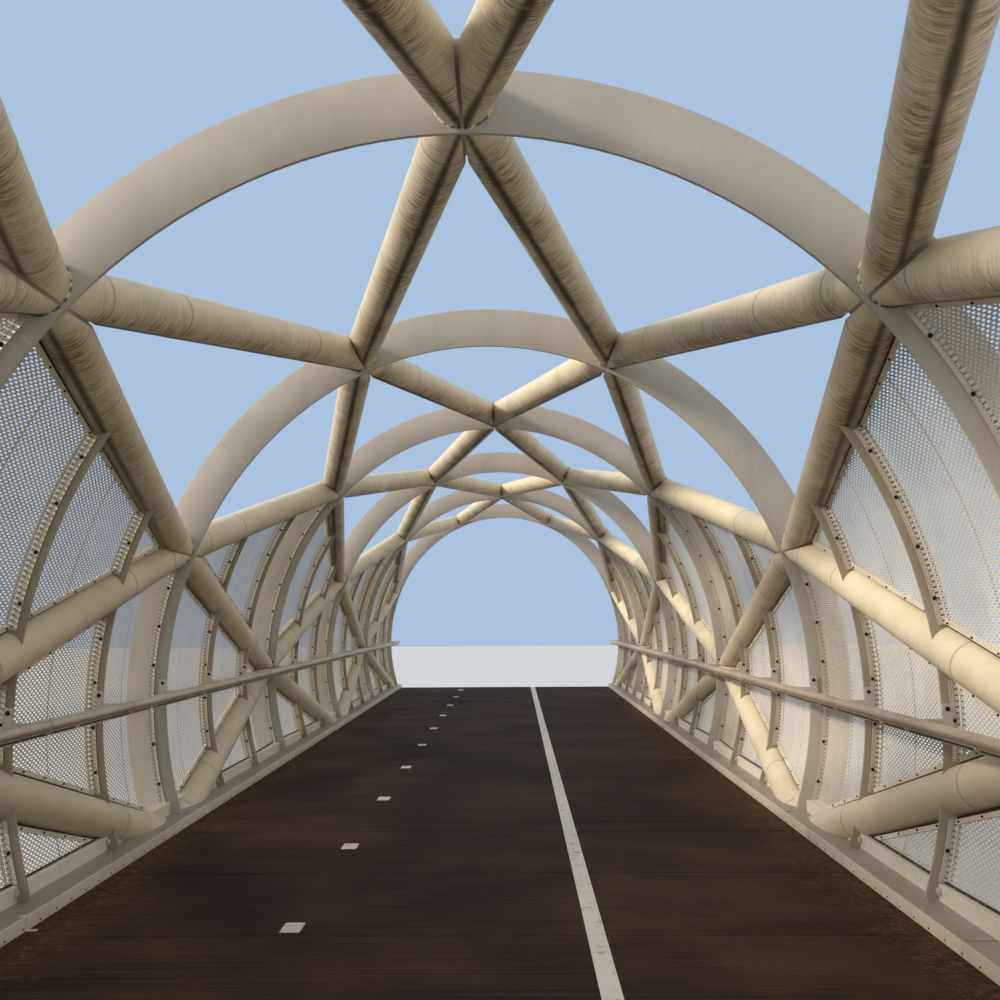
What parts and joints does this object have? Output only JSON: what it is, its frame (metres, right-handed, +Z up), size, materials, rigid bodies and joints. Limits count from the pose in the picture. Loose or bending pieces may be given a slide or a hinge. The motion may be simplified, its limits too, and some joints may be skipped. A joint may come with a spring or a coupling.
{
  "type": "cycle bridge",
  "caption": "Oval tube bridge for cyclists: a lattice of round bars with flat ring plates, a deck, perforated side screens, curved ribs and handrails.",
  "frame": {"origin": "middle of the plan at the level of the bearing undersides", "axes": "+Y runs along the bridge away from the camera's end, +X to the right across it, +Z up"},
  "size_m": [6.06, 23.48, 6.76],
  "materials": {
    "ring_paint": "satin, light grey beige, weathered",
    "tube_paint": "satin, cream, weathered with grime",
    "screen_paint": "satin, off-white, perforated",
    "rib_paint": "satin, grey beige",
    "deck_coating": "rough anti-slip resin, dark brown",
    "beam_paint": "satin, grey",
    "kerb_paint": "satin, worn grey beige",
    "rail_steel": "dull brushed",
    "rail_channel": "dull",
    "bearing_steel": "matt grey"
  },
  "bodies": {
    "root": {"beam_flanges": "beam_paint", "beam_webs": "beam_paint", "bearing_plates": "bearing_steel", "bearing_saddles": "bearing_steel", "deck_panels": "deck_coating", "deck_stringers": "beam_paint", "handrails": "rail_steel", "kerb_bars": "kerb_paint", "kerb_ledges": "kerb_paint", "knife_plates_bay_1": "tube_paint", "knife_plates_bay_2": "tube_paint", "knife_plates_bay_3": "tube_paint", "knife_plates_bay_4": "tube_paint", "knife_plates_bay_5": "tube_paint", "knife_plates_bay_6": "tube_paint", "rail_brackets": "rib_paint", "rail_channels": "rail_channel", "ribs_bay_1": "rib_paint", "ribs_bay_2": "rib_paint", "ribs_bay_3": "rib_paint", "ribs_bay_4": "rib_paint", "ribs_bay_5": "rib_paint", "ribs_bay_6": "rib_paint", "ring_plate_1": "ring_paint", "ring_plate_2": "ring_paint", "ring_plate_3": "ring_paint", "ring_plate_4": "ring_paint", "ring_plate_5": "ring_paint", "ring_plate_6": "ring_paint", "ring_plate_7": "ring_paint", "screen_sills": "kerb_paint", "screens_bay_1": "screen_paint", "screens_bay_2": "screen_paint", "screens_bay_3": "screen_paint", "screens_bay_4": "screen_paint", "screens_bay_5": "screen_paint", "screens_bay_6": "screen_paint", "tubes_bay_1": "tube_paint", "tubes_bay_2": "tube_paint", "tubes_bay_3": "tube_paint", "tubes_bay_4": "tube_paint", "tubes_bay_5": "tube_paint", "tubes_bay_6": "tube_paint"}
  },
  "joints": []
}
